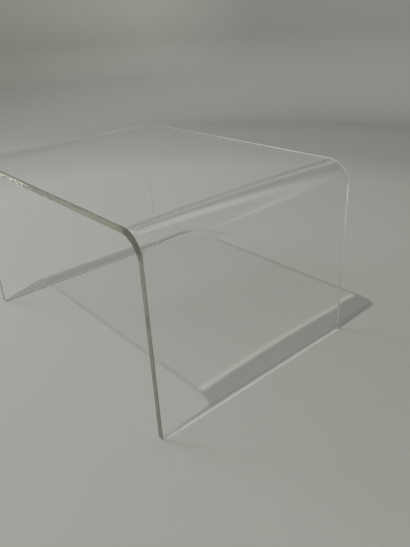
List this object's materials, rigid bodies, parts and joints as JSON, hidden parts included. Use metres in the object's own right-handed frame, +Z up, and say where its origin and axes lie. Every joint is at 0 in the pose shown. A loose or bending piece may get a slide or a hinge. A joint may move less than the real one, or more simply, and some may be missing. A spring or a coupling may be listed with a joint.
{
  "type": "side table",
  "caption": "Clear acrylic side table: a thick flat sheet folded down at both ends into an arch, with rounded bends, polished cut edges and an open front and back.",
  "frame": {"origin": "on the floor, under the middle of the table top", "axes": "+X across the table from the left leg to the right leg, +Y from the front cut edge to the back one, +Z up"},
  "size_m": [0.71, 0.5, 0.388],
  "materials": {
    "clear_acrylic": "clear polished sheet with flame-polished cut edges",
    "clear_pad": "clear moulded soft plastic, slightly hazy"
  },
  "bodies": {
    "root": {"bent_sheet": "clear_acrylic", "foot_pad_left_front": "clear_pad", "foot_pad_left_back": "clear_pad", "foot_pad_right_front": "clear_pad", "foot_pad_right_back": "clear_pad"}
  },
  "joints": []
}
